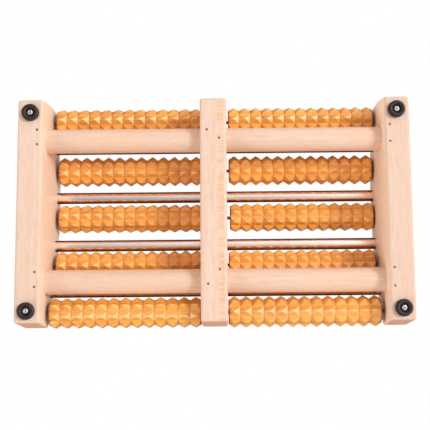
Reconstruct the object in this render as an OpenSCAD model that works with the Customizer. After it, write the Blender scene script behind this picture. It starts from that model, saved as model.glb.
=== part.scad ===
// Dual foot massage roller: three arched boards, two cross dowels, four smooth
// steel rods and five rows of paired, pyramid-cut wooden rollers that spin on
// steel axles. It stands on four rubber feet.
//
// X runs along the rollers, Y from the tall end (front) to the low end (back)
// and Z up. The origin is on the floor, under the middle of the object.

/* [Frame] */
// Width over the outer faces of the side boards
overall_w = 360; // [350:1:380]
// Y of the boards' front end where it stands out furthest
board_front = -107.3; // [-107.6:0.1:-107]
// Y of the top of the boards' back end
board_back = 106.6; // [106:0.1:107.2]
// Thickness of a side board
side_t = 22.9; // [20:0.1:26]
// Thickness of the centre board
centre_t = 24.4; // [20:0.1:24.6]
// X of the middle of the centre board
centre_x = -0.4; // [-0.6:0.1:0.4]
// Rounding of the long edges of the boards
edge_r = 2.5; // [1:0.5:3]

/* [Arch] */
// Radius of the arc through the axles and rods
arc_r = 178; // [177:0.5:180]
// Height of the boards' top edge above that arc
arch_rim = 14; // [12:0.5:15]
// Y of the arc's centre
arc_y = -16; // [-18:1:-14]
// Z of the arc's centre
arc_z = -103; // [-105:1:-101]

/* [Rollers] */
// Y of each roller axle, from the front row to the back row
row_y = [-92.5, -46.7, 0.3, 47.6, 92.8];
// Radius over the tips of the pyramids
tip_r = 14.5; // [13.5:0.1:14.8]
// Radius at the bottom of the ring grooves
groove_r = 11.2; // [10:0.1:12]
// Radius where a ring groove crosses a lengthwise groove
corner_r = 11.5; // [10.2:0.1:12.4]
// Distance from one ring of pyramids to the next
ring_pitch = 10.93; // [10.5:0.01:11]
// Number of rings of pyramids on a roller
rings = 13; // [11:1:13]
// Number of pyramids in a ring
facets = 8; // [6:1:10]
// How far each left roller is turned about its axle at rest, front to back
turn_left = [-6, 14, -12.5, -0.5, 13];
// How far each right roller is turned about its axle at rest, front to back
turn_right = [-2.5, 9, 22.5, 16.5, -3];
// How much a left roller's ends cut off its outermost rings: next to the side board, then the centre board
trim_left = [0.9, 0.4];
// How much a right roller's ends cut off its outermost rings: next to the side board, then the centre board
trim_right = [0.7, 0.1];
// How far each left roller has slid along its axle, front to back
slide_left = [1.1, 0.9, 0.9, 1.2, 1.1];
// How far each right roller has slid along its axle, front to back
slide_right = [-0.3, 0, 0.8, -0.7, -1.4];

/* [Axles and rods] */
// Diameter of a roller axle
axle_d = 3; // [2.5:0.5:4]
// Radial clearance between a roller and its axle
axle_clear = 0.08; // [0.02:0.01:0.1]
// Depth of an axle's socket in a side board
axle_socket = 12; // [8:1:16]
// Y of each steel rod, front to back
rod_y = [-69, -20.8, 27.4, 72.6];
// Outer diameter of a steel rod
rod_d = 11; // [10:0.5:12]
// Wall of a steel rod
rod_wall = 1.5; // [1:0.1:2.5]
// Depth of a rod's socket in a side board
rod_socket = 14; // [10:1:16]

/* [Cross dowels] */
// Y of the front and back cross dowels
dowel_y = [-68.6, 64];
// Height of the dowels' axes above the bottom of the boards
dowel_h = 23.6; // [22:0.1:25]
// Diameter of a cross dowel
dowel_d = 22.5; // [20:0.5:24]
// Depth of a dowel's socket in a side board
dowel_socket = 16; // [12:1:18]

/* [Feet and fasteners] */
// Diameter of a rubber foot
foot_d = 15.5; // [14:0.5:17]
// Height of a rubber foot
foot_h = 5; // [4:0.5:6]
// Distance of the front and back feet from the middle of the object along X
foot_x = [167.9, 168.5];
// Y of the front and back feet
foot_y = [-90.8, 90];
// Diameter of the recess for the screw head
recess_d = 7.4; // [7.2:0.1:9]
// Rubber left under the screw head
foot_web = 2; // [1.5:0.1:2.5]
// Diameter of the screw head
screw_head_d = 5.4; // [5:0.1:7]
// Height of the screw head
screw_head_h = 1.8; // [1.5:0.1:2]
// Diameter of the screw's shank
screw_d = 3; // [2.5:0.1:3.5]
// How far the screw reaches into the board
screw_grip = 12; // [10:1:14]
// Diameter of a nail
nail_d = 1.6; // [1.2:0.1:2]
// Length of a nail
nail_l = 28; // [24:1:30]
// Distance of the side boards' nails from the middle of the object along X
nail_x = 161.8; // [160:0.1:164]
// Y of the nails in the left board
nails_left_y = [-75.2, -61.5, 55.3, 68.6];
// Y of the nails in the right board
nails_right_y = [-77.1, -61.5, 53.9, 70.4];
// X and Y of the nails in the centre board
nails_centre_xy = [[-6.2, -73.9], [5, -66], [4.9, 54.3], [-5.7, 67.2]];

/* [Hidden] */
ROWS = [0 : len(row_y) - 1];
RODS = [0 : len(rod_y) - 1];
SIDES = [-1, 1];

function side_name(s) = s < 0 ? "_left" : "_right";
function end_name(e) = e < 0 ? "_front" : "_back";
function foot_place(e, s) = e < 0 ? [s * foot_x[0], foot_y[0], 0] : [s * foot_x[1], foot_y[1], 0];

// Height of the arc that carries the axles and rods
function arc_height(y) = arc_z + sqrt(arc_r * arc_r - (y - arc_y) * (y - arc_y));

inner_x = overall_w / 2 - side_t;          // inner face of a side board
bay_x = (inner_x + centre_t / 2) / 2;      // middle of the gap that a roller fills
blank_l = rings * ring_pitch;
dowel_z = foot_h + dowel_h;
top_r = arc_r + arch_rim;

// The front end bulges on a large radius and the back end leans outwards
front_r = 185;
front_z = 45;
back_lean = 5.6;
top_centre = [arc_y, arc_z];
front_centre = [board_front + front_r, front_z];
back_top_z = arc_z + sqrt(top_r * top_r - (board_back - arc_y) * (board_back - arc_y));
back_angle = atan(back_lean / (back_top_z - foot_h));
low_round = 3;
back_round = 5;
front_round = 6;
blank_h = 140;                             // above the arch, before it is trimmed
blank_y = 400;                             // longer than any board

SLACK = 0.03;                              // keeps cutting faces from coinciding
EDGE_STEPS = [0, 30, 60, 90];              // angles at which a rounded edge is cut
CORNER_STEPS = 6;
ARC_FN = 240;
BORE_FN = 48;

WOOD = "#f2cdb0";
WOOD_CENTRE = "#f6d6bb";
VARNISH = "#ef9a45";
STEEL = "#c8c6cc";
AXLE_STEEL = "#6e6460";
RUBBER = "#46403f";
SCREW = "#d9d7d2";
NAIL = "#8a6f5e";

// ---------------------------------------------------------------- boards

function unit(v) = v / norm(v);

// Points of a quarter round of radius r about c, from angle a0 on
function quarter(c, r, a0) = [
    for (a = EDGE_STEPS) [c[0] + r * cos(a0 + a), c[1] + r * sin(a0 + a)]
];

// Points that round the corner v of a polygon whose neighbouring points are a
// and b, going anticlockwise
function round_corner(a, v, b, r) =
    let (
        u = unit(a - v),
        w = unit(b - v),
        half = acos(u * w) / 2,
        c = v + unit(u + w) * r / sin(half),
        start = v + u * r / tan(half) - c,
        a0 = atan2(start[1], start[0]),
        sweep = 180 - 2 * half
    )
    [for (k = [0 : CORNER_STEPS]) c + r * [
        cos(a0 + sweep * k / CORNER_STEPS),
        sin(a0 + sweep * k / CORNER_STEPS)
    ]];

// Cross-section of a plank whose two lower edges are rounded: w wide, h high
module rounded_bar(w, h) {
    polygon(concat(
        [[-w / 2, h]],
        quarter([edge_r - w / 2, edge_r], edge_r, 180),
        quarter([w / 2 - edge_r, edge_r], edge_r, 270),
        [[w / 2, h]]
    ));
}

// A disc along X with a rounded rim, whose edge shapes the board's top or front
module rounded_disc(t, r, centre) {
    translate([0, centre[0], centre[1]]) rotate([0, 90, 0]) rotate_extrude($fn = ARC_FN) {
        polygon(concat(
            [[0, -t / 2]],
            quarter([r - edge_r, edge_r - t / 2], edge_r, -90),
            quarter([r - edge_r, t / 2 - edge_r], edge_r, 0),
            [[0, t / 2]]
        ));
    }
}

// Where two circles cross, on the left of the way from c0 to c1
function crossing(c0, r0, c1, r1) =
    let (
        d = norm(c1 - c0),
        along = (r0 * r0 - r1 * r1 + d * d) / (2 * d),
        u = (c1 - c0) / d
    )
    c0 + along * u + sqrt(r0 * r0 - along * along) * [-u[1], u[0]];

// Where the tangents to a circle at p and q meet
function tangents_meet(c, r, p, q) =
    let (m = (p + q) / 2 - c)
    c + m * r * r / (m * m);

// Side view in Y and Z, a hair larger than the board but for its corners
module corner_outline() {
    r = front_r + SLACK;
    low_z = foot_h - SLACK;
    front_low = [
        front_centre[0] - sqrt(r * r - (low_z - front_z) * (low_z - front_z)),
        low_z
    ];
    front_high = crossing(top_centre, top_r, front_centre, r);
    front_mid = tangents_meet(front_centre, r, front_low, front_high);
    front_tangent = front_high + [front_high[1] - arc_z, arc_y - front_high[0]];
    back_low = [board_back - back_lean + SLACK, low_z];
    back_high = [board_back + SLACK, back_top_z];
    back_tangent = back_high + [arc_z - back_high[1], back_high[0] - arc_y];
    polygon(concat(
        round_corner(front_mid, front_low, back_low, low_round),
        round_corner(front_low, back_low, back_high, low_round),
        round_corner(back_low, back_high, back_tangent, back_round),
        [[arc_y, blank_h]],
        round_corner(front_tangent, front_high, front_mid, front_round),
        [front_mid]
    ));
}

// A board of thickness t centred on X = 0
module board_blank(t) {
    wide = t + 2 * SLACK;
    intersection() {
        rounded_disc(t, top_r, top_centre);
        rounded_disc(wide, front_r, front_centre);
        translate([0, 0, foot_h]) rotate([90, 0, 0]) {
            linear_extrude(2 * blank_y, center = true) rounded_bar(wide, blank_h);
        }
        translate([0, board_back, back_top_z]) rotate([back_angle, 0, 180]) {
            linear_extrude(2 * blank_h, center = true) rounded_bar(wide, blank_y);
        }
        rotate([90, 0, 90]) linear_extrude(2 * t, center = true) corner_outline();
    }
}

// A rod along X from x0 to x1
module x_rod(d, y, z, x0, x1) {
    translate([x0, y, z]) rotate([0, 90, 0]) cylinder(d = d, h = x1 - x0, $fn = BORE_FN);
}

// The outer surfaces of everything that passes through or into the boards
module cross_members() {
    for (y = dowel_y) {
        x_rod(dowel_d, y, dowel_z, -inner_x - dowel_socket, inner_x + dowel_socket);
    }
    for (y = rod_y) {
        x_rod(rod_d, y, arc_height(y), -inner_x - rod_socket, inner_x + rod_socket);
    }
    for (y = row_y) {
        x_rod(axle_d, y, arc_height(y), -inner_x - axle_socket, inner_x + axle_socket);
    }
}

module side_board(s) {
    color(WOOD) difference() {
        translate([s * (overall_w - side_t) / 2, 0, 0]) board_blank(side_t);
        cross_members();
        for (e = SIDES) {
            translate(foot_place(e, s) + [0, 0, foot_h]) screw_shank(screw_grip);
        }
        side_nails(s);
    }
}

module centre_board() {
    color(WOOD_CENTRE) difference() {
        translate([centre_x, 0, 0]) board_blank(centre_t);
        cross_members();
        centre_nails();
    }
}

// ---------------------------------------------------------------- dowels, rods and axles

module cross_dowel(y) {
    color(WOOD) difference() {
        x_rod(dowel_d, y, dowel_z, -inner_x - dowel_socket, inner_x + dowel_socket);
        side_nails(-1);
        side_nails(1);
        centre_nails();
    }
}

module steel_rod(i) {
    z = arc_height(rod_y[i]);
    reach = inner_x + rod_socket;
    color(STEEL) difference() {
        x_rod(rod_d, rod_y[i], z, -reach, reach);
        x_rod(rod_d - 2 * rod_wall, rod_y[i], z, -reach - 1, reach + 1);
    }
}

module axle(i) {
    reach = inner_x + axle_socket;
    color(AXLE_STEEL) x_rod(axle_d, row_y[i], arc_height(row_y[i]), -reach, reach);
}

// ---------------------------------------------------------------- rollers

// A point on a roller at ring position x, step k of half facets round it
function roller_point(x, r, k) = [
    x,
    r * sin(k * 180 / facets),
    -r * cos(k * 180 / facets)
];

// The cross-section at a groove: corners between the facets, and a point that
// keeps the groove's bottom round
function groove_ring(x) = [
    for (k = [0 : 2 * facets - 1]) roller_point(x, k % 2 == 0 ? groove_r : corner_r, k)
];

function tip_ring(x) = [for (k = [0 : facets - 1]) roller_point(x, tip_r, 2 * k)];

// Six triangles that close one pyramid: its tip, and the six points of its base
function pyramid_faces(tip, base) = [
    for (j = [0 : 5]) [tip, base[j], base[(j + 1) % 6]]
];

module roller_blank() {
    around = 2 * facets;
    stride = around + facets;
    points = concat(
        [for (i = [0 : rings - 1]) each concat(
            groove_ring(i * ring_pitch - blank_l / 2),
            tip_ring((i + 0.5) * ring_pitch - blank_l / 2)
        )],
        groove_ring(blank_l / 2)
    );
    sides = [
        for (i = [0 : rings - 1], k = [0 : facets - 1])
            let (
                near = i * stride,
                far = near + stride,
                before = (2 * k + around - 1) % around,
                mid = 2 * k,
                after = 2 * k + 1
            )
            each pyramid_faces(near + around + k, [
                near + before, near + mid, near + after,
                far + after, far + mid, far + before
            ])
    ];
    caps = [
        [for (k = [around - 1 : -1 : 0]) k],
        [for (k = [0 : around - 1]) rings * stride + k]
    ];
    polyhedron(points, concat(sides, caps), convexity = 10);
}

module roller(i, s) {
    turn = s < 0 ? turn_left[i] : turn_right[i];
    slide = s < 0 ? slide_left[i] : slide_right[i];
    trim = s < 0 ? trim_left : trim_right;
    outer = s * (blank_l / 2 - trim[0]);
    inner = -s * (blank_l / 2 - trim[1]);
    x0 = min(outer, inner);
    x1 = max(outer, inner);
    bore_d = axle_d + 2 * axle_clear;
    color(VARNISH) translate([s * bay_x + slide, row_y[i], arc_height(row_y[i])]) {
        difference() {
            intersection() {
                rotate([turn, 0, 0]) roller_blank();
                x_rod(2 * tip_r + 1, 0, 0, x0, x1);
            }
            x_rod(bore_d, 0, 0, x0 - 1, x1 + 1);
        }
    }
}

// ---------------------------------------------------------------- feet and fasteners

module screw_shank(h) {
    cylinder(d = screw_d, h = h, $fn = BORE_FN);
}

// A rubber ring with a recess for the screw head and a softened lower rim
module rubber_foot(e, s) {
    rim = 0.8;
    color(RUBBER) translate(foot_place(e, s)) rotate_extrude($fn = BORE_FN) polygon([
        [recess_d / 2, 0],
        [foot_d / 2 - 2 * rim, 0],
        [foot_d / 2 - rim, rim / 2],
        [foot_d / 2, 2 * rim],
        [foot_d / 2, foot_h],
        [screw_d / 2, foot_h],
        [screw_d / 2, foot_h - foot_web],
        [recess_d / 2, foot_h - foot_web]
    ]);
}

// A pan-head screw whose head sits inside the foot, with a cross recess
module foot_screw(e, s) {
    slot_w = 0.9;
    slot_l = 3.4;
    slot_h = 0.9;
    head_z = foot_h - foot_web - screw_head_h;
    color(SCREW) translate(foot_place(e, s)) difference() {
        union() {
            translate([0, 0, head_z]) cylinder(d = screw_head_d, h = screw_head_h, $fn = BORE_FN);
            translate([0, 0, head_z + screw_head_h]) screw_shank(foot_web + screw_grip);
        }
        for (turn = [45, 135]) {
            translate([0, 0, head_z + slot_h / 2]) rotate([0, 0, turn]) {
                cube([slot_l, slot_w, slot_h], center = true);
            }
        }
    }
}

module nail(x, y) {
    translate([x, y, foot_h]) cylinder(d = nail_d, h = nail_l, $fn = BORE_FN);
}

module side_nails(s) {
    for (y = s < 0 ? nails_left_y : nails_right_y) nail(s * nail_x, y);
}

module centre_nails() {
    for (p = nails_centre_xy) nail(p[0], p[1]);
}

// ---------------------------------------------------------------- nodes

side_board(-1);  // side_board_left
side_board(1);  // side_board_right
centre_board();
cross_dowel(dowel_y[0]);  // cross_dowel_front
cross_dowel(dowel_y[1]);  // cross_dowel_back
for (i = RODS) {
    steel_rod(i);
}
for (i = ROWS) {
    axle(i);
}
for (i = ROWS, s = SIDES) {
    roller(i, s);
}
for (e = SIDES, s = SIDES) {
    rubber_foot(e, s);
    foot_screw(e, s);
}
color(NAIL) side_nails(-1);  // nails_left
color(NAIL) side_nails(1);  // nails_right
color(NAIL) centre_nails();  // nails_centre
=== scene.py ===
import functools
import math

import bmesh
import bpy
from mathutils import Matrix, Vector


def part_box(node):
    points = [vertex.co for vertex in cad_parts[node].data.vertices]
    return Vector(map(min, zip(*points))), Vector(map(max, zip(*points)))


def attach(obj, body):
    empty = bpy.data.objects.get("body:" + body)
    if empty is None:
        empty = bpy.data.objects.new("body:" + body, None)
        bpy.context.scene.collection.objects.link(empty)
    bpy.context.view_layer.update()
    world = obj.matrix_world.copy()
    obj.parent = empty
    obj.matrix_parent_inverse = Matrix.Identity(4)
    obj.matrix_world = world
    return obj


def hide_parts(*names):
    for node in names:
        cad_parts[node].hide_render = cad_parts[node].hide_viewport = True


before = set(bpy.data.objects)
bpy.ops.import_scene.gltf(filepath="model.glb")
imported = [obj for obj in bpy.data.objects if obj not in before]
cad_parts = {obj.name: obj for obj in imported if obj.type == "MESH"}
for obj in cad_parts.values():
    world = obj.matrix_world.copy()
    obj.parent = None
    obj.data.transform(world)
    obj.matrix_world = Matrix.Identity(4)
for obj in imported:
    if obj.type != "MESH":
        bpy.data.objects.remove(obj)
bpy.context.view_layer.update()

MM = 0.001
ROOT = "frame"


# ---------------------------------------------------------------- helpers


def mesh_object(name, bm, material, body, at=(0, 0, 0)):
    """A piece made from bm, placed at a point, that rides on a body."""
    mesh = bpy.data.meshes.new(name)
    bm.to_mesh(mesh)
    bm.free()
    mesh.materials.append(material)
    mesh.shade_smooth()
    piece = bpy.data.objects.new(name, mesh)
    bpy.context.scene.collection.objects.link(piece)
    piece.location = at
    weighted = piece.modifiers.new("even shading", "WEIGHTED_NORMAL")
    weighted.weight = 100
    weighted.keep_sharp = True
    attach(piece, body)
    return piece


def middle(node):
    """The middle of a CAD node's box."""
    low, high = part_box(node)
    return [(a + b) / 2 for a, b in zip(low, high)]


def lathe(profile, steps):
    """A closed surface from a profile of (radius, height) in millimetres, turned about Z."""
    bm = bmesh.new()
    rings = []
    for r, z in profile:
        radius, height = r * MM, z * MM
        if radius == 0:
            rings.append([bm.verts.new((0, 0, height))])
            continue
        rings.append([
            bm.verts.new((
                radius * math.cos(2 * math.pi * k / steps),
                radius * math.sin(2 * math.pi * k / steps),
                height,
            ))
            for k in range(steps)
        ])
    for a, b in zip(rings, rings[1:]):
        for k in range(steps):
            n = (k + 1) % steps
            corners = [a[k % len(a)], a[n % len(a)], b[n % len(b)], b[k % len(b)]]
            unique = [v for i, v in enumerate(corners) if v not in corners[:i]]
            bm.faces.new(unique)
    return bm


def add_node(tree, kind, settings=None, **inputs):
    """Adds a shader node. An input is named, with _ for a space, or numbered, as in _0, and
    is a value or another node's socket."""
    node = tree.nodes.new("ShaderNode" + kind)
    for key, value in (settings or {}).items():
        setattr(node, key, value)
    for key, value in inputs.items():
        socket = node.inputs[int(key[1:]) if key[1:].isdigit() else key.replace("_", " ")]
        if isinstance(value, bpy.types.NodeSocket):
            tree.links.new(value, socket)
        else:
            socket.default_value = value
    return node


# ---------------------------------------------------------------- materials


class Look:
    """One procedural material, built node by node."""

    def __init__(self, name, **sockets):
        self.material = bpy.data.materials.new(name)
        self.material.use_nodes = True
        self.tree = self.material.node_tree
        self.shader = self.tree.nodes["Principled BSDF"]
        for key, value in sockets.items():
            self.shader.inputs[key.replace("_", " ")].default_value = value

    def add(self, kind, settings=None, **inputs):
        return add_node(self.tree, kind, settings, **inputs)

    def place(self, stretch=(1, 1, 1), shift=(0, 0, 0)):
        """The piece's own coordinates, stretched and shifted."""
        coords = self.add("TexCoord").outputs["Object"]
        return self.add("Mapping", Vector=coords, Scale=stretch, Location=shift).outputs["Vector"]

    def axes(self):
        """The piece's own X, Y and Z, as three sockets by name."""
        return self.add("SeparateXYZ", Vector=self.place()).outputs

    def noise(self, vector, scale, detail, rough, seed):
        return self.add(
            "TexNoise", {"noise_dimensions": "4D"}, Vector=vector, W=seed, Scale=scale,
            Detail=detail, Roughness=rough,
        ).outputs["Fac"]

    def fade(self, value, low, high, to_low=0.0, to_high=1.0):
        """A smooth ramp from to_low to to_high as value goes from low to high."""
        return self.add(
            "MapRange", {"interpolation_type": "SMOOTHSTEP"}, Value=value,
            _1=low, _2=high, _3=to_low, _4=to_high,
        ).outputs["Result"]

    def calc(self, operation, a, b=0.0):
        return self.add("Math", {"operation": operation}, _0=a, _1=b).outputs[0]

    def mix(self, amount, a, b):
        """The colour a, turning to b as amount goes from 0 to 1."""
        node = self.add("Mix", {"data_type": "RGBA"}, _0=amount)
        for socket, value in ((node.inputs[6], a), (node.inputs[7], b)):
            if isinstance(value, bpy.types.NodeSocket):
                self.tree.links.new(value, socket)
            else:
                socket.default_value = (*value, 1)
        return node.outputs[2]

    def radius(self):
        """Distance from the piece's own X axis."""
        own = self.axes()
        y2 = self.calc("MULTIPLY", own["Y"], own["Y"])
        z2 = self.calc("MULTIPLY", own["Z"], own["Z"])
        return self.calc("SQRT", self.calc("ADD", y2, z2))

    def bump(self, height, depth, strength):
        node = self.add("Bump", Height=height, Distance=depth, Strength=strength)
        self.tree.links.new(node.outputs["Normal"], self.shader.inputs["Normal"])

    def use(self, **sockets):
        """Links the shader's inputs, and gives the finished material."""
        for key, socket in sockets.items():
            self.tree.links.new(socket, self.shader.inputs[key.replace("_", " ")])
        return self.material


def board_faces(look, colour, warm, half, inward):
    """Painted warm shade on a board's side faces and their rounded edges, painted warm bounce light
    on its inner face, and a darker orange on its ends, partly the end grain's own colour and partly
    painted shade. half is half its thickness; inward is 1 or -1 where its inner face looks along X,
    or 0."""
    own = look.axes()
    # Painted warm shade: the side faces, and the rounded edges that lead to them, turn warmer.
    edge = look.fade(look.calc("ABSOLUTE", own["X"]), half - 2.6 * MM, half, 0.0, 0.35)
    colour = look.mix(edge, colour, tuple(c * k for c, k in zip(warm, (1.0, 0.92, 0.82))))
    # Painted warm bounce light: above the bottom edge, the inner face turns a brighter orange.
    above = look.fade(own["Z"], BOTTOM_EDGE, BOTTOM_EDGE + 2.2 * MM, 0.0, 0.65)
    inner = look.fade(look.calc("MULTIPLY", own["X"], inward), half - 3.0 * MM, half - 0.5 * MM)
    colour = look.mix(look.calc("MULTIPLY", above, inner), colour, (1.0, 0.80, 0.62))
    # The end faces turn a darker orange: partly the end grain's own colour and partly painted shade
    # of the rounded ends.
    normal = look.add("TexCoord").outputs["Normal"]
    facing = look.add("SeparateXYZ", Vector=normal).outputs["Y"]
    end_grain_and_shade = look.fade(look.calc("ABSOLUTE", facing), 0.70, 0.95, 0.0, 0.85)
    return look.mix(end_grain_and_shade, colour, (0.84, 0.41, 0.24))


def planer_marks(look, colour, seed):
    """Cross marks left by a planer along one side of a board's bottom."""
    own = look.axes()
    ripple = look.noise(look.place((0.05, 1, 0.3)), 560.0, 2.0, 0.5, seed + 11)
    patchy = look.noise(look.place((0.2, 1, 0.3)), 60.0, 2.0, 0.5, seed + 13)
    start = look.fade(own["X"], 2.0 * MM, 5.5 * MM)
    stop = look.fade(own["X"], 8.6 * MM, 10.2 * MM, 1.0, 0.0)
    under = look.fade(own["Z"], BOTTOM_EDGE, BOTTOM_EDGE + 1.2 * MM, 1.0, 0.0)
    marks = look.fade(ripple, 0.44, 0.56)
    for limit in (start, stop, look.fade(patchy, 0.40, 0.52), under):
        marks = look.calc("MULTIPLY", marks, limit)
    return look.mix(look.calc("MULTIPLY", marks, 0.85), colour, (0.78, 0.45, 0.24))


def beech(name, along, seed, pale, warm, half=0.0, inward=0, planed=False):
    """Sanded beech: rings seen as soft stripes, with short flecks along the grain. along is
    the grain's axis, 0 for X or 1 for Y. A board also gives half its thickness and inward, as
    board_faces says, and whether its bottom shows planer marks."""
    look = Look(name, Roughness=0.5, Coat_Weight=0.12, Coat_Roughness=0.35, Specular_IOR_Level=0.4)
    squeeze = [1.0, 1.0, 1.0]
    squeeze[along] = 0.12
    grain = look.place(squeeze)
    rings = look.add(
        "TexWave", {"wave_type": "RINGS", "rings_direction": "XYZ"[along]},
        Vector=look.place(shift=(0.031, 0.012, 0.047)),
        Scale=70.0, Distortion=5.0, Detail=2.0, Detail_Scale=0.35,
    ).outputs["Fac"]
    patches = look.noise(grain, 45.0, 3.0, 0.6, seed)
    streaks = look.noise(grain, 420.0, 4.0, 0.65, seed + 3)
    flecks = look.fade(look.noise(grain, 1100.0, 2.0, 0.6, seed + 7), 0.56, 0.70)
    colour = look.mix(look.fade(rings, 0.2, 0.9, 0.0, 0.28), pale, warm)
    colour = look.mix(look.fade(patches, 0.35, 0.72, 0.0, 0.55), colour, warm)
    colour = look.mix(look.fade(streaks, 0.45, 0.75, 0.0, 0.40), colour, FLECK)
    colour = look.mix(look.calc("MULTIPLY", flecks, 0.42), colour, FLECK)
    if half:
        colour = board_faces(look, colour, warm, half, inward)
    if planed:
        colour = planer_marks(look, colour, seed)
    raised = look.calc("MULTIPLY", streaks, 0.6)
    sunk = look.calc("MULTIPLY", flecks, -0.5)
    look.bump(look.calc("ADD", raised, sunk), 0.05 * MM, 0.6)
    return look.use(Base_Color=colour, Roughness=look.fade(flecks, 0.0, 1.0, 0.46, 0.62))


def varnished(name, seed, painted_light_and_tone, turn, ends):
    """Orange varnish over a turned and cut roller: deeper in the grooves, where it pools, with a
    painted highlight that makes it paler towards the tips and along the rows of tips, and darker
    brown with no coat over a narrow band at each end. Its colour is scaled by painted light and
    shade for the row, with a little random tone. turn is how far the roller is turned, and ends are
    the X of its ends."""
    look = Look(name, Roughness=0.4, Coat_Weight=1.0, Coat_Roughness=0.34, Coat_IOR=1.6)
    grain = look.place((0.10, 1, 1))
    streaks = look.noise(grain, 520.0, 4.0, 0.6, seed)
    patches = look.noise(look.place((0.5, 1, 1)), 60.0, 3.0, 0.55, seed + 5)
    pores = look.fade(look.noise(grain, 1500.0, 2.0, 0.6, seed + 9), 0.60, 0.72)
    amber, honey = (tuple(c * painted_light_and_tone for c in shade) for shade in (AMBER, HONEY))
    colour = look.mix(look.fade(streaks, 0.35, 0.70), amber, honey)
    colour = look.mix(look.fade(patches, 0.45, 0.70, 0.0, 0.60), colour, (0.70, 0.22, 0.025))
    colour = look.mix(look.calc("MULTIPLY", pores, 0.30), colour, UMBER)
    # Painted highlight: the varnish turns paler towards the tips.
    painted_tip_highlight = look.fade(look.radius(), 13.3 * MM, 14.4 * MM, 0.0, 0.45)
    colour = look.mix(painted_tip_highlight, colour, (0.98, 0.60, 0.22))
    # Painted highlight: a pale line along each row of tips, found by the angle about the axle with
    # the turn taken off.
    own = look.axes()
    angle = look.calc("ARCTAN2", own["Y"], look.calc("MULTIPLY", own["Z"], -1.0))
    unturned = look.calc("SUBTRACT", angle, math.radians(turn))
    from_tips = look.calc("PINGPONG", unturned, math.pi / FACETS)
    painted_ridge_highlight = look.fade(from_tips, math.radians(1.2), math.radians(3.4), 0.55, 0.0)
    colour = look.mix(painted_ridge_highlight, colour, (1.0, 0.62, 0.25))
    from_groove = look.calc("PINGPONG", look.calc("ADD", own["X"], PITCH / 2), PITCH / 2)
    pooled = look.fade(from_groove, 0.3 * MM, 1.3 * MM, 0.5, 0.0)
    colour = look.mix(pooled, colour, (0.66, 0.19, 0.018))
    # Each end turns darker brown, with no coat, over a narrow band.
    coat = 1.0
    for end in ends:
        depth = -math.copysign(DARK_END_DEPTH, end)
        dark_end = look.fade(own["X"], end + 0.65 * depth, end + depth, 0.95, 0.0)
        colour = look.mix(dark_end, colour, (0.26, 0.065, 0.018))
        coat = look.calc("SUBTRACT", coat, dark_end)
    height = look.calc("ADD", streaks, look.calc("MULTIPLY", patches, 2.0))
    look.bump(height, 0.06 * MM, 0.5)
    wear = look.noise(look.place(), 260.0, 2.0, 0.5, seed + 2)
    return look.use(
        Base_Color=colour, Roughness=look.fade(wear, 0.3, 0.7, 0.26, 0.46), Coat_Weight=coat,
    )


def drawn_steel(name, colour, rough, seed, painted_reflection_flanks=None):
    """Drawn steel with fine lines along X and faint cloudy staining. Its brown specular tint is a
    painted reflection that browns its glancing reflections. The last argument gives where, as a
    part of the width from the middle, its sides start and finish turning brown: a painted dark
    reflection of the wood beside them."""
    # The brown specular tint is a painted reflection: it browns the steel's glancing reflections.
    look = Look(
        name, Metallic=1.0, Roughness=rough, Anisotropic=0.35, Specular_Tint=(0.12, 0.05, 0.025, 1),
    )
    lines = look.noise(look.place((0.03, 1, 1)), 1600.0, 3.0, 0.7, seed)
    clouds = look.noise(look.place((0.3, 1, 1)), 90.0, 3.0, 0.6, seed + 4)
    dull = tuple(c * k for c, k in zip(colour, (0.80, 0.76, 0.74)))
    tint = look.mix(look.fade(clouds, 0.45, 0.75, 0.0, 0.6), colour, dull)
    tint = look.mix(look.fade(lines, 0.40, 0.75, 0.0, 0.35), tint, dull)
    # Painted reflection: the sides of the rod turn dark brown, as if they mirrored the wood beside
    # them.
    if painted_reflection_flanks:
        boxed = look.add("TexCoord").outputs["Generated"]
        across = look.add("SeparateXYZ", Vector=boxed).outputs["Y"]
        off = look.calc("ABSOLUTE", look.calc("SUBTRACT", across, 0.5))
        tint = look.mix(look.fade(off, *painted_reflection_flanks, 0.0, 0.9), tint, (0.18, 0.08, 0.035))
    look.bump(lines, 0.01 * MM, 0.5)
    grooved = look.fade(lines, 0.3, 0.7, rough - 0.06, rough + 0.10)
    return look.use(Base_Color=tint, Roughness=grooved)


def moulded_rubber(name):
    """Charcoal rubber, finely grained, with a little dust."""
    look = Look(name, Roughness=0.5, Specular_IOR_Level=0.3)
    fine = look.noise(look.place(), 2600.0, 3.0, 0.6, 1.0)
    dust = look.noise(look.place(), 380.0, 4.0, 0.65, 6.0)
    dusty = look.fade(dust, 0.42, 0.72, 0.0, 0.5)
    colour = look.mix(dusty, (0.020, 0.013, 0.013), (0.055, 0.040, 0.040))
    look.bump(fine, 0.04 * MM, 0.7)
    return look.use(Base_Color=colour, Roughness=look.fade(dust, 0.3, 0.7, 0.38, 0.62))


def plated(name, colour, rough, seed):
    """Zinc plating with a little tarnish."""
    look = Look(name, Metallic=1.0, Roughness=rough)
    spots = look.noise(look.place(), 900.0, 4.0, 0.6, seed)
    dull = tuple(c * 0.62 for c in colour)
    tint = look.mix(look.fade(spots, 0.48, 0.70, 0.0, 0.7), colour, dull)
    look.bump(spots, 0.015 * MM, 0.6)
    return look.use(Base_Color=tint, Roughness=look.fade(spots, 0.3, 0.7, rough, rough + 0.2))


PALE = (0.80, 0.615, 0.505)
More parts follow.
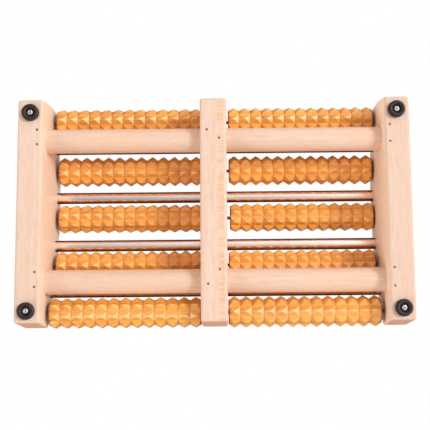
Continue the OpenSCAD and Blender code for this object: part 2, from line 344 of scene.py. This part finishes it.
# Painted shade: the right board's wood is 8% darker, to offset the lamp light that falls brighter
# on it.
PALE_RIGHT_PAINTED_DARKER = tuple(0.92 * c for c in PALE)
WARM = (0.75, 0.51, 0.375)
FLECK = (0.64, 0.375, 0.235)
AMBER = (0.88, 0.335, 0.026)
HONEY = (0.97, 0.475, 0.085)
UMBER = (0.30, 0.085, 0.016)
BOTTOM_EDGE = 5.3 * MM  # just above the flat bottoms of the boards
DARK_END_DEPTH = 1.1 * MM  # how deep the darker brown band at each end of a roller goes
SIDE_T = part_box("side_board_left")[1][0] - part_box("side_board_left")[0][0]
CENTRE_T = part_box("centre_board")[1][0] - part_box("centre_board")[0][0]
board_wood = {
    "side_board_left": beech("beech left", 1, 1.0, PALE, WARM, SIDE_T / 2, 1),
    "side_board_right": beech("beech right", 1, 17.0, PALE_RIGHT_PAINTED_DARKER, WARM, SIDE_T / 2, -1),
    "centre_board": beech("beech centre", 1, 29.0, PALE, WARM, CENTRE_T / 2, planed=True),
}
dowel_wood = beech("beech dowel", 0, 41.0, (0.81, 0.595, 0.475), (0.80, 0.51, 0.34))
# The rod steel's warm pink colour is partly the steel's own and partly a painted reflection of the
# wood around it.
rod_steel = drawn_steel("drawn rod steel", (0.97, 0.80, 0.72), 0.20, 2.0, (0.25, 0.42))
axle_steel = drawn_steel("dark axle steel", (0.20, 0.17, 0.16), 0.38, 8.0)
rubber = moulded_rubber("moulded rubber")
screw_metal = plated("zinc plating", (0.60, 0.57, 0.54), 0.30, 3.0)
nail_metal = plated("dull nail steel", (0.26, 0.17, 0.12), 0.55, 5.0)


# ---------------------------------------------------------------- boards

TOP_R, TOP_C = 192 * MM, Vector((-16, -103)) * MM
FRONT_R, FRONT_C = 185 * MM, Vector((77.7, 45)) * MM
BACK_Y, BACK_LEAN = 106.6 * MM, 5.6 * MM
EDGE_R = 2.5 * MM
EDGE_STEPS = 6
HIGH_FRONT_R, HIGH_BACK_R, LOW_R = 6 * MM, 5 * MM, 3 * MM
CROWN_STEPS, BULGE_STEPS = 80, 24
INSET = 0.02 * MM  # keeps a board inside its CAD node's box


def fillet(outline, i, radius, steps=8):
    """Rounds corner i of a closed outline, whose neighbours may be closely spaced points."""
    corner = outline[i]
    u = (outline[i - 1] - corner).normalized()
    w = (outline[(i + 1) % len(outline)] - corner).normalized()
    half = u.angle(w) / 2
    cut = radius / math.tan(half)
    centre = corner + (u + w).normalized() * (radius / math.sin(half))
    start = corner + u * cut - centre
    end = corner + w * cut - centre
    sweep = start.angle(end)
    arc = [
        centre + (start * math.sin(sweep - a) + end * math.sin(a)) / math.sin(sweep)
        for a in (sweep * k / steps for k in range(steps + 1))
    ]
    clear = [k != i and (p - corner).length > cut * 1.05 for k, p in enumerate(outline)]
    before = [p for p, ok in zip(outline[:i], clear[:i]) if ok]
    after = [p for p, ok in zip(outline[i:], clear[i:]) if ok]
    return before + arc + after


def on_circle(centre, radius, angle):
    return centre + radius * Vector((math.cos(angle), math.sin(angle)))


def angle_of(point, centre):
    return math.atan2(point[1] - centre[1], point[0] - centre[0]) % (2 * math.pi)


def board_outline(bottom):
    """Side view of a board as (Y, Z): flat below, arched above, with a bulging front end
    and a back end that leans outwards."""
    low_front = FRONT_C + Vector((
        -math.sqrt(FRONT_R ** 2 - (bottom - FRONT_C[1]) ** 2), bottom - FRONT_C[1],
    ))
    low_back = Vector((BACK_Y - BACK_LEAN, bottom))
    high_back = Vector((
        BACK_Y, TOP_C[1] + math.sqrt(TOP_R ** 2 - (BACK_Y - TOP_C[0]) ** 2),
    ))
    gap = FRONT_C - TOP_C
    along = (TOP_R ** 2 - FRONT_R ** 2 + gap.length_squared) / (2 * gap.length)
    u = gap.normalized()
    high_front = TOP_C + along * u + math.sqrt(TOP_R ** 2 - along ** 2) * Vector((-u[1], u[0]))
    a0, a1 = angle_of(high_back, TOP_C), angle_of(high_front, TOP_C)
    b0, b1 = angle_of(high_front, FRONT_C), angle_of(low_front, FRONT_C)
    crown = [
        on_circle(TOP_C, TOP_R, a0 + (a1 - a0) * k / CROWN_STEPS) for k in range(1, CROWN_STEPS)
    ]
    bulge = [
        on_circle(FRONT_C, FRONT_R, b0 + (b1 - b0) * k / BULGE_STEPS) for k in range(1, BULGE_STEPS)
    ]
    outline = [low_front, low_back, high_back, *crown, high_front, *bulge]
    for corner, radius in (
        (high_front, HIGH_FRONT_R), (high_back, HIGH_BACK_R), (low_back, LOW_R), (low_front, LOW_R),
    ):
        i = next(k for k, p in enumerate(outline) if (p - corner).length < 1e-9)
        outline = fillet(outline, i, radius)
    return outline


def shrink(outline, by):
    """The outline moved inwards along its normals."""
    out = []
    for i, p in enumerate(outline):
        run = (outline[(i + 1) % len(outline)] - outline[i - 1]).normalized()
        out.append(p + by * Vector((-run[1], run[0])))
    return out


def board(node):
    """A board with rounded edges: its outline is swept across, shrinking round each edge."""
    low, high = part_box(node)
    half = (high[0] - low[0]) / 2
    outline = board_outline(low[2])
    turns = [k * math.pi / 2 / EDGE_STEPS for k in range(EDGE_STEPS + 1)]
    sections = [
        (-half + EDGE_R * (1 - math.cos(a)), EDGE_R * (1 - math.sin(a)) + INSET) for a in turns
    ]
    sections += [(-x, by) for x, by in reversed(sections)]
    bm = bmesh.new()
    rings = [
        [bm.verts.new((x, p[0], p[1])) for p in shrink(outline, by)] for x, by in sections
    ]
    for a, b in zip(rings, rings[1:]):
        for k in range(len(outline)):
            bm.faces.new((a[k], a[k - 1], b[k - 1], b[k]))
    bm.faces.new(rings[0])
    bm.faces.new(reversed(rings[-1]))
    bmesh.ops.recalc_face_normals(bm, faces=bm.faces)
    place = (middle(node)[0], 0, 0)
    name = node.replace("board", "plank")
    piece = mesh_object(name, bm, board_wood[node], ROOT, place)
    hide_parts(node)


for node in board_wood:
    board(node)


# ---------------------------------------------------------------- dowels, rods, axles

CARRIED_OVER = {"cross_dowel": dowel_wood, "steel_rod": rod_steel, "axle": axle_steel}

for name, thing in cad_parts.items():
    for prefix, material in CARRIED_OVER.items():
        if name.startswith(prefix):
            thing.data.materials.clear()
            thing.data.materials.append(material)


# ---------------------------------------------------------------- rollers

TIP_R = 14.78 * MM  # before the tips are softened, which brings them down to the CAD's
GROOVE_R = 11.2 * MM
CORNER_R = 11.5 * MM
BORE_R = 1.58 * MM
BORE_STEPS = 32
PITCH = 10.93 * MM
RINGS = 13
FACETS = 8
SOFTENING = 0.32 * MM
SHARP = math.radians(12)  # edges that turn less than this are left as they are
# How much of its outermost rings a roller's outer end and its inner end cut off
TRIM = {"left": (0.9 * MM, 0.4 * MM), "right": (0.7 * MM, 0.1 * MM)}
ROW_PAINTED_LIGHT = (1.01, 1.07, 1.05, 1.01, 0.97)  # how light each row's varnish is painted, from the front row to the back: painted light and shade that evens out how light falls on the rows
# How far each roller is turned about its axle, in degrees, from the front row to the back
TURN = {
    "left": (-6, 14, -12.5, -0.5, 13),
    "right": (-2.5, 9, 22.5, 16.5, -3),
}


def roller_mesh(ends):
    """Rings of pyramids with softened edges, cut off at the X of both ends, which are open."""
    bm = bmesh.new()

    def point(x, r, k):
        angle = k * math.pi / FACETS
        return bm.verts.new((x, r * math.sin(angle), -r * math.cos(angle)))

    length = RINGS * PITCH
    around = 2 * FACETS
    grooves = [
        [point(i * PITCH - length / 2, CORNER_R if k % 2 else GROOVE_R, k) for k in range(around)]
        for i in range(RINGS + 1)
    ]
    for i in range(RINGS):
        a, b = grooves[i], grooves[i + 1]
        x = (i + 0.5) * PITCH - length / 2
        for k in range(FACETS):
            tip = point(x, TIP_R, 2 * k)
            base = [
                a[2 * k - 1], a[2 * k], a[(2 * k + 1) % around],
                b[(2 * k + 1) % around], b[2 * k], b[2 * k - 1],
            ]
            for j in range(6):
                bm.faces.new((tip, base[j], base[(j + 1) % 6]))
    bmesh.ops.recalc_face_normals(bm, faces=bm.faces)
    bm.normal_update()
    sharp = [e for e in bm.edges if len(e.link_faces) == 2 and e.calc_face_angle(0) > SHARP]
    bmesh.ops.bevel(bm, geom=sharp, offset=SOFTENING, offset_type="OFFSET", segments=2,
                    profile=0.5, affect="EDGES", clamp_overlap=True)
    for x in ends:
        everything = bm.verts[:] + bm.edges[:] + bm.faces[:]
        bmesh.ops.bisect_plane(bm, geom=everything, plane_co=(x, 0, 0),
                               plane_no=(math.copysign(1, x), 0, 0), clear_outer=True)
    return bm


def close_ends(bm, ends):
    """Closes the roller's ends with flat faces, and puts the bore through it."""
    holes = []
    for x in ends:
        rim = [
            e for e in bm.edges
            if e.is_boundary and all(abs(v.co.x - x) < 0.01 * MM for v in e.verts)
        ]
        angles = [2 * math.pi * k / BORE_STEPS for k in range(BORE_STEPS)]
        hole = [bm.verts.new((x, BORE_R * math.sin(a), -BORE_R * math.cos(a))) for a in angles]
        ring = [bm.edges.new((hole[k], hole[(k + 1) % BORE_STEPS])) for k in range(BORE_STEPS)]
        bmesh.ops.triangle_fill(bm, use_beauty=True, use_dissolve=False, edges=rim + ring)
        holes.append(hole)
    for k in range(BORE_STEPS):
        n = (k + 1) % BORE_STEPS
        bm.faces.new((holes[0][k], holes[0][n], holes[1][n], holes[1][k]))
    bmesh.ops.recalc_face_normals(bm, faces=bm.faces)


def roller(row, side, turn):
    node = f"roller_{row}_{side}"
    outer, inner = (RINGS * PITCH / 2 - trim for trim in TRIM[side])
    ends = (-outer, inner) if side == "left" else (-inner, outer)
    bm = roller_mesh(ends)
    close_ends(bm, ends)
    bmesh.ops.rotate(bm, verts=bm.verts, matrix=Matrix.Rotation(math.radians(turn), 3, "X"))
    seed = row * 13.0 + (50.0 if side == "left" else 0.0)
    # Painted light and shade for the row, with a small random change in tone for each roller.
    painted_light_and_tone = ROW_PAINTED_LIGHT[row - 1] + 0.02 * math.sin(seed)
    varnish = varnished(f"varnish {row} {side}", seed, painted_light_and_tone, turn, ends)
    _, y, z = middle(f"axle_{row}")
    place = (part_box(node)[0][0] - ends[0], y, z)
    piece = mesh_object(f"massage_roller_{row}_{side}", bm, varnish, node, place)
    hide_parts(node)


for side, turns in TURN.items():
    for row, turn in enumerate(turns, 1):
        roller(row, side, turn)


# ---------------------------------------------------------------- feet, screws and nails

# Profiles of (radius, height above the floor), in millimetres
FOOT_PROFILE = [
    (1.6, 5.0), (7.55, 5.0), (7.75, 4.8), (7.75, 1.6), (7.6, 0.95), (7.2, 0.35), (6.5, 0.05),
    (5.9, 0.0), (5.3, 0.06), (4.8, 0.28), (4.3, 0.75), (3.9, 1.4), (3.7, 2.2), (3.65, 2.8),
    (3.5, 3.0), (1.6, 3.0), (1.6, 5.0),
]
HEAD_PROFILE = [
    (0.0, 3.0), (1.5, 3.0), (2.55, 3.0), (2.7, 2.85), (2.7, 2.3), (2.6, 1.95), (2.35, 1.6),
    (1.9, 1.35), (1.3, 1.22), (0.7, 1.2), (0.0, 1.2),
]
NAIL_PROFILE = [(0.0, 5.9), (1.15, 5.9), (1.15, 4.98), (1.0, 4.9), (0.5, 4.93), (0.0, 4.95)]
# How far each screw's cross recess is turned, in degrees
DRIVE_TURN = {"front_left": 20, "front_right": 62, "back_left": 38, "back_right": 5}
# Half the length and width of a bar of the cross recess; height and growth of its two ends
BAR_REACH, BAR_HALF_W = 1.5, 0.42
BAR_ENDS = ((0.6, 1.25), (2.25, 0.55))
NAIL_SPACING = 3 * MM  # nails in a group are further apart than this
FOOT_STEPS, HEAD_STEPS, NAIL_STEPS = 72, 48, 24


def cross_cutter(turn):
    """The solid that cuts a cross recess: two crossed bars that taper inwards."""
    bm = bmesh.new()
    for quarter in (0, 90):
        spin = Matrix.Rotation(math.radians(turn + quarter), 3, "Z")
        shape = []
        for z, grow in BAR_ENDS:
            reach, half_w = BAR_REACH * grow, BAR_HALF_W * (0.7 + 0.3 * grow)
            for x, y in ((-1, -1), (1, -1), (1, 1), (-1, 1)):
                corner = Vector((x * reach, y * half_w, z)) * MM
                shape.append(bm.verts.new(spin @ corner))
        low, high = shape[:4], shape[4:]
        bm.faces.new(low)
        bm.faces.new(high)
        for k in range(4):
            n = (k + 1) % 4
            bm.faces.new((low[k], low[n], high[n], high[k]))
    bmesh.ops.recalc_face_normals(bm, faces=bm.faces)
    return bm


def carve(bm, cutter):
    """bm less cutter, as a new bmesh."""
    things = []
    for shape in (bm, cutter):
        mesh = bpy.data.meshes.new("carving")
        shape.to_mesh(mesh)
        shape.free()
        thing = bpy.data.objects.new("carving", mesh)
        bpy.context.scene.collection.objects.link(thing)
        things.append(thing)
    body, tool = things
    cut = body.modifiers.new("cut", "BOOLEAN")
    cut.operation = "DIFFERENCE"
    cut.solver = "EXACT"
    cut.use_self = True
    cut.object = tool
    graph = bpy.context.evaluated_depsgraph_get()
    out = bmesh.new()
    out.from_mesh(body.evaluated_get(graph).to_mesh())
    for thing in things:
        mesh = thing.data
        bpy.data.objects.remove(thing)
        bpy.data.meshes.remove(mesh)
    return out


def foot_and_screw(corner, drive):
    """A ring of rubber and the screw head in its recess. drive turns the cross recess."""
    node = f"rubber_foot_{corner}"
    x, y, _ = middle(node)
    ring = lathe(FOOT_PROFILE, FOOT_STEPS)
    foot = mesh_object(f"ring_foot_{corner}", ring, rubber, ROOT, (x, y, 0))
    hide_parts(node)
    head = lathe(HEAD_PROFILE, HEAD_STEPS)
    bmesh.ops.recalc_face_normals(head, faces=head.faces)
    head = carve(head, cross_cutter(drive))
    screw = mesh_object(f"screw_head_{corner}", head, screw_metal, ROOT, (x, y, 0))
    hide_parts(f"foot_screw_{corner}")


def nail_places(node):
    """The X and Y of the middle of each nail in a node of nails, from its mesh."""
    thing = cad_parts[node]
    nails = []
    for vertex in thing.data.vertices:
        x, y, _ = thing.matrix_world @ vertex.co
        for nail in nails:
            if math.dist(nail[0], (x, y)) < NAIL_SPACING:
                nail.append((x, y))
                break
        else:
            nails.append([(x, y)])
    return [[(min(values) + max(values)) / 2 for values in zip(*nail)] for nail in nails]


def nail_heads(node):
    """The heads of a board's nails, as one piece."""
    all_heads = bmesh.new()
    for x, y in nail_places(node):
        head = lathe(NAIL_PROFILE, NAIL_STEPS)
        bmesh.ops.translate(head, verts=head.verts, vec=(x, y, 0))
        spare = bpy.data.meshes.new("spare")
        head.to_mesh(spare)
        head.free()
        all_heads.from_mesh(spare)
        bpy.data.meshes.remove(spare)
    name = node.replace("nails", "nail_heads")
    heads = mesh_object(name, all_heads, nail_metal, ROOT)
    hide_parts(node)


for corner, drive in DRIVE_TURN.items():
    foot_and_screw(corner, drive)

for node in ("nails_left", "nails_right", "nails_centre"):
    nail_heads(node)


# ---------------------------------------------------------------- floor, light and camera

CAMERA_AT = (0.01207, 0.08696, -0.69028)
CAMERA_TURN = (-173.3117, -0.2397, 0.5272)  # degrees
FOCAL_LENGTH = 64.76
SHIFT_X = -0.0233


def pale_floor():
    """A pale floor that is solid from above. The camera looks up at the bottom of the object
    from under it, so from below the floor is clear. It neither blocks nor bounces light."""
    bm = bmesh.new()
    bmesh.ops.create_grid(bm, x_segments=1, y_segments=1, size=4.0)
    mesh = bpy.data.meshes.new("floor")
    bm.to_mesh(mesh)
    bm.free()
    floor = bpy.data.objects.new("floor", mesh)
    bpy.context.scene.collection.objects.link(floor)
    look = Look("pale floor", Base_Color=(0.86, 0.86, 0.87, 1), Roughness=0.9)
    clear = look.add("BsdfTransparent").outputs[0]
    under = look.add("NewGeometry").outputs["Backfacing"]
    both = look.add("MixShader", _0=under, _1=look.shader.outputs[0], _2=clear).outputs[0]
    look.tree.links.new(both, look.tree.nodes["Material Output"].inputs["Surface"])
    mesh.materials.append(look.material)
    floor.visible_shadow = False
    floor.visible_diffuse = False
    floor.visible_glossy = False


def area_light(name, at, aim_height, size, power, mirrored=True, colour=(1, 1, 1)):
    """A round lamp that aims at a point above the origin. If mirrored is False, shiny things
    are lit by it but don't show its reflection."""
    lamp = bpy.data.lights.new(name, "AREA")
    lamp.color = colour
    lamp.shape = "DISK"
    lamp.size = size
    lamp.energy = power
    thing = bpy.data.objects.new(name, lamp)
    bpy.context.scene.collection.objects.link(thing)
    thing.location = at
    aim = Vector((0, 0, aim_height)) - Vector(at)
    thing.rotation_euler = aim.to_track_quat("-Z", "Y").to_euler()
    thing.visible_camera = False
    thing.visible_glossy = mirrored


def studio():
    """Plain surroundings, white to the camera. As light they are soft and warm. Shiny things
    mirror them as bright below the horizon, mostly on the right, and as a dark room above."""
    world = bpy.data.worlds.new("studio")
    world.use_nodes = True
    bpy.context.scene.world = world
    add = functools.partial(add_node, world.node_tree)

    def ramp(value, low, high, to_low=0.0, to_high=1.0):
        node = add("MapRange", Value=value, _1=low, _2=high, _3=to_low, _4=to_high)
        return node.outputs["Result"]

    def times(a, b):
        return add("Math", {"operation": "MULTIPLY"}, _0=a, _1=b).outputs[0]

    def glow(colour, strength):
        return add("Background", Color=(*colour, 1), Strength=strength).outputs[0]

    def blend(amount, a, b):
        return add("MixShader", _0=amount, _1=a, _2=b).outputs[0]

    way = add("SeparateXYZ", Vector=add("TexCoord").outputs["Generated"]).outputs
    rising = ramp(way["Z"], -0.08, 0.10)
    overhead = ramp(way["Z"], 0.45, 0.85)

    grazing = ramp(way["Z"], -0.80, -0.50, 0.47, 1.05)
    below = glow((1.0, 0.91, 0.84), grazing)
    side = glow((1.0, 0.88, 0.80), 0.66)
    above = glow((1.0, 0.98, 0.96), 0.35)
    soft = blend(overhead, blend(rising, below, side), above)

    to_front = ramp(way["Y"], 0.6, -0.7, 0.55, 1.15)
    off_left = ramp(way["X"], -0.6, 0.0, 0.12, 1.0)
    to_right = ramp(way["X"], 0.1, 0.80, 1.0, 5.0)
    bright = glow((1, 0.97, 0.95), times(to_front, times(off_left, to_right)))
    room = glow((0.07, 0.032, 0.018), 1.0)
    ceiling = glow((0.9, 0.86, 0.84), 0.42)
    mirrored = blend(rising, bright, blend(overhead, room, ceiling))

    rays = add("LightPath").outputs
    lit = blend(rays["Is Glossy Ray"], soft, mirrored)
    seen = blend(rays["Is Camera Ray"], lit, glow((1, 1, 1), 1.0))
    output = world.node_tree.nodes["World Output"]
    world.node_tree.links.new(seen, output.inputs["Surface"])


def camera_below():
    """The camera, under the floor, which looks up at the bottom of the object."""
    data = bpy.data.cameras.new("camera")
    data.sensor_width = 36
    data.lens = FOCAL_LENGTH
    data.shift_x = SHIFT_X
    data.clip_start = 0.01
    data.clip_end = 50
    camera = bpy.data.objects.new("camera", data)
    bpy.context.scene.collection.objects.link(camera)
    camera.location = CAMERA_AT
    camera.rotation_euler = [math.radians(a) for a in CAMERA_TURN]
    bpy.context.scene.camera = camera
    bpy.context.scene.view_settings.view_transform = "Standard"


pale_floor()
area_light(
    "key below", (2.79, -0.80, -3.43), 0.03, 1.35, 117.0, mirrored=False, colour=(0.96, 1.0, 1.05),
)
area_light("fill below", (-2.85, 1.30, -1.30), 0.03, 2.0, 35.0)
area_light("key above", (-0.7, -0.9, 1.7), 0.04, 1.0, 11.0, mirrored=False)
area_light("fill above", (0.9, 0.6, 1.5), 0.04, 1.2, 3.0, mirrored=False)
area_light("glint above", (0.3, -0.9, 1.6), 0.04, 0.2, 1.5)
studio()
camera_below()
